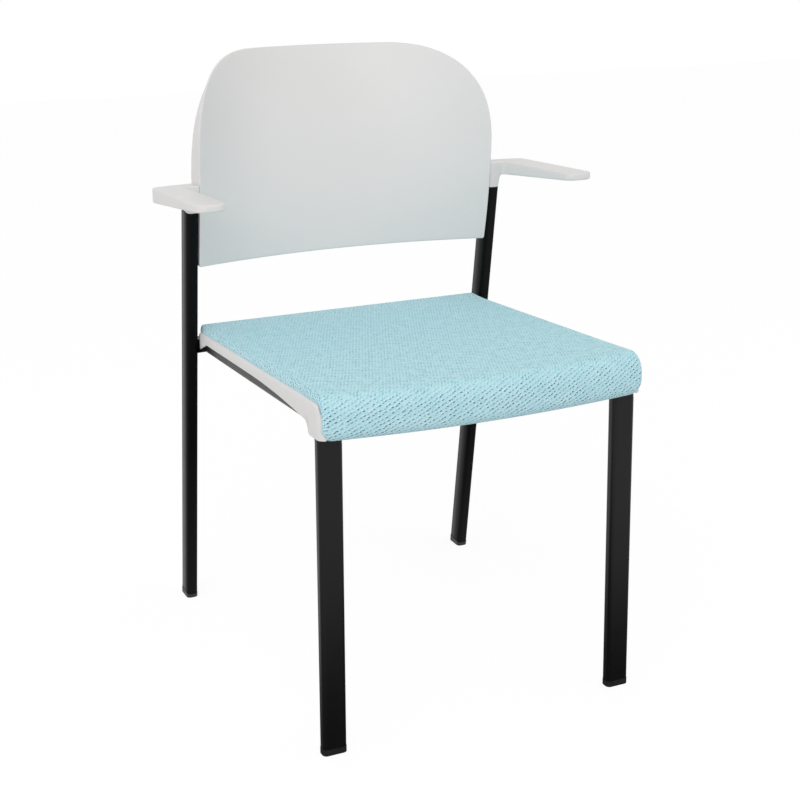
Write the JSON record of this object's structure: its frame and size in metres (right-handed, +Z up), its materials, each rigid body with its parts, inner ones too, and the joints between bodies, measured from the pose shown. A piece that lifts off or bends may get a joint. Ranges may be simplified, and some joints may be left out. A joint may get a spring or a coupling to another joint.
{
  "type": "four-legged armchair",
  "caption": "Stacking armchair: flat-sided oval steel tube frame, padded fabric seat in a moulded tray, curved moulded back shell, moulded arm pads on the uprights and foot glides",
  "frame": {"origin": "on the floor, under the middle of the chair", "axes": "+Z up, the chair faces -Y; left and right in the names are as seen from the front, with +X to the right"},
  "size_m": [0.5594, 0.5784, 0.8019],
  "materials": {
    "frame_black": "glossy black powder coat",
    "cap_black": "moulded, matte black",
    "shell_white": "moulded, light grey-white, satin",
    "plywood": "plain plywood, hidden",
    "foam": "cut foam, hidden",
    "seat_fabric": "woven upholstery fabric, pale aqua with darker flecks",
    "zinc_steel": "zinc plated"
  },
  "bodies": {
    "root": {"side_frame_left": "frame_black", "side_frame_right": "frame_black", "upright_left": "frame_black", "upright_right": "frame_black", "bracket_left": "frame_black", "bracket_right": "frame_black", "front_crossbar": "frame_black", "rear_crossbar": "frame_black", "rail_caps": "cap_black", "mount_tabs": "frame_black", "seat_tray": "shell_white", "seat_board": "plywood", "seat_foam": "foam", "seat_cover": "seat_fabric", "seat_screws": "zinc_steel", "seat_tee_nuts": "zinc_steel", "back_panel": "shell_white", "back_rivet_nuts": "zinc_steel", "back_screws": "zinc_steel", "arm_left": "shell_white", "arm_right": "shell_white", "arm_screws": "zinc_steel", "glide_front_left": "cap_black", "glide_front_right": "cap_black", "glide_rear_left": "cap_black", "glide_rear_right": "cap_black"}
  },
  "joints": []
}
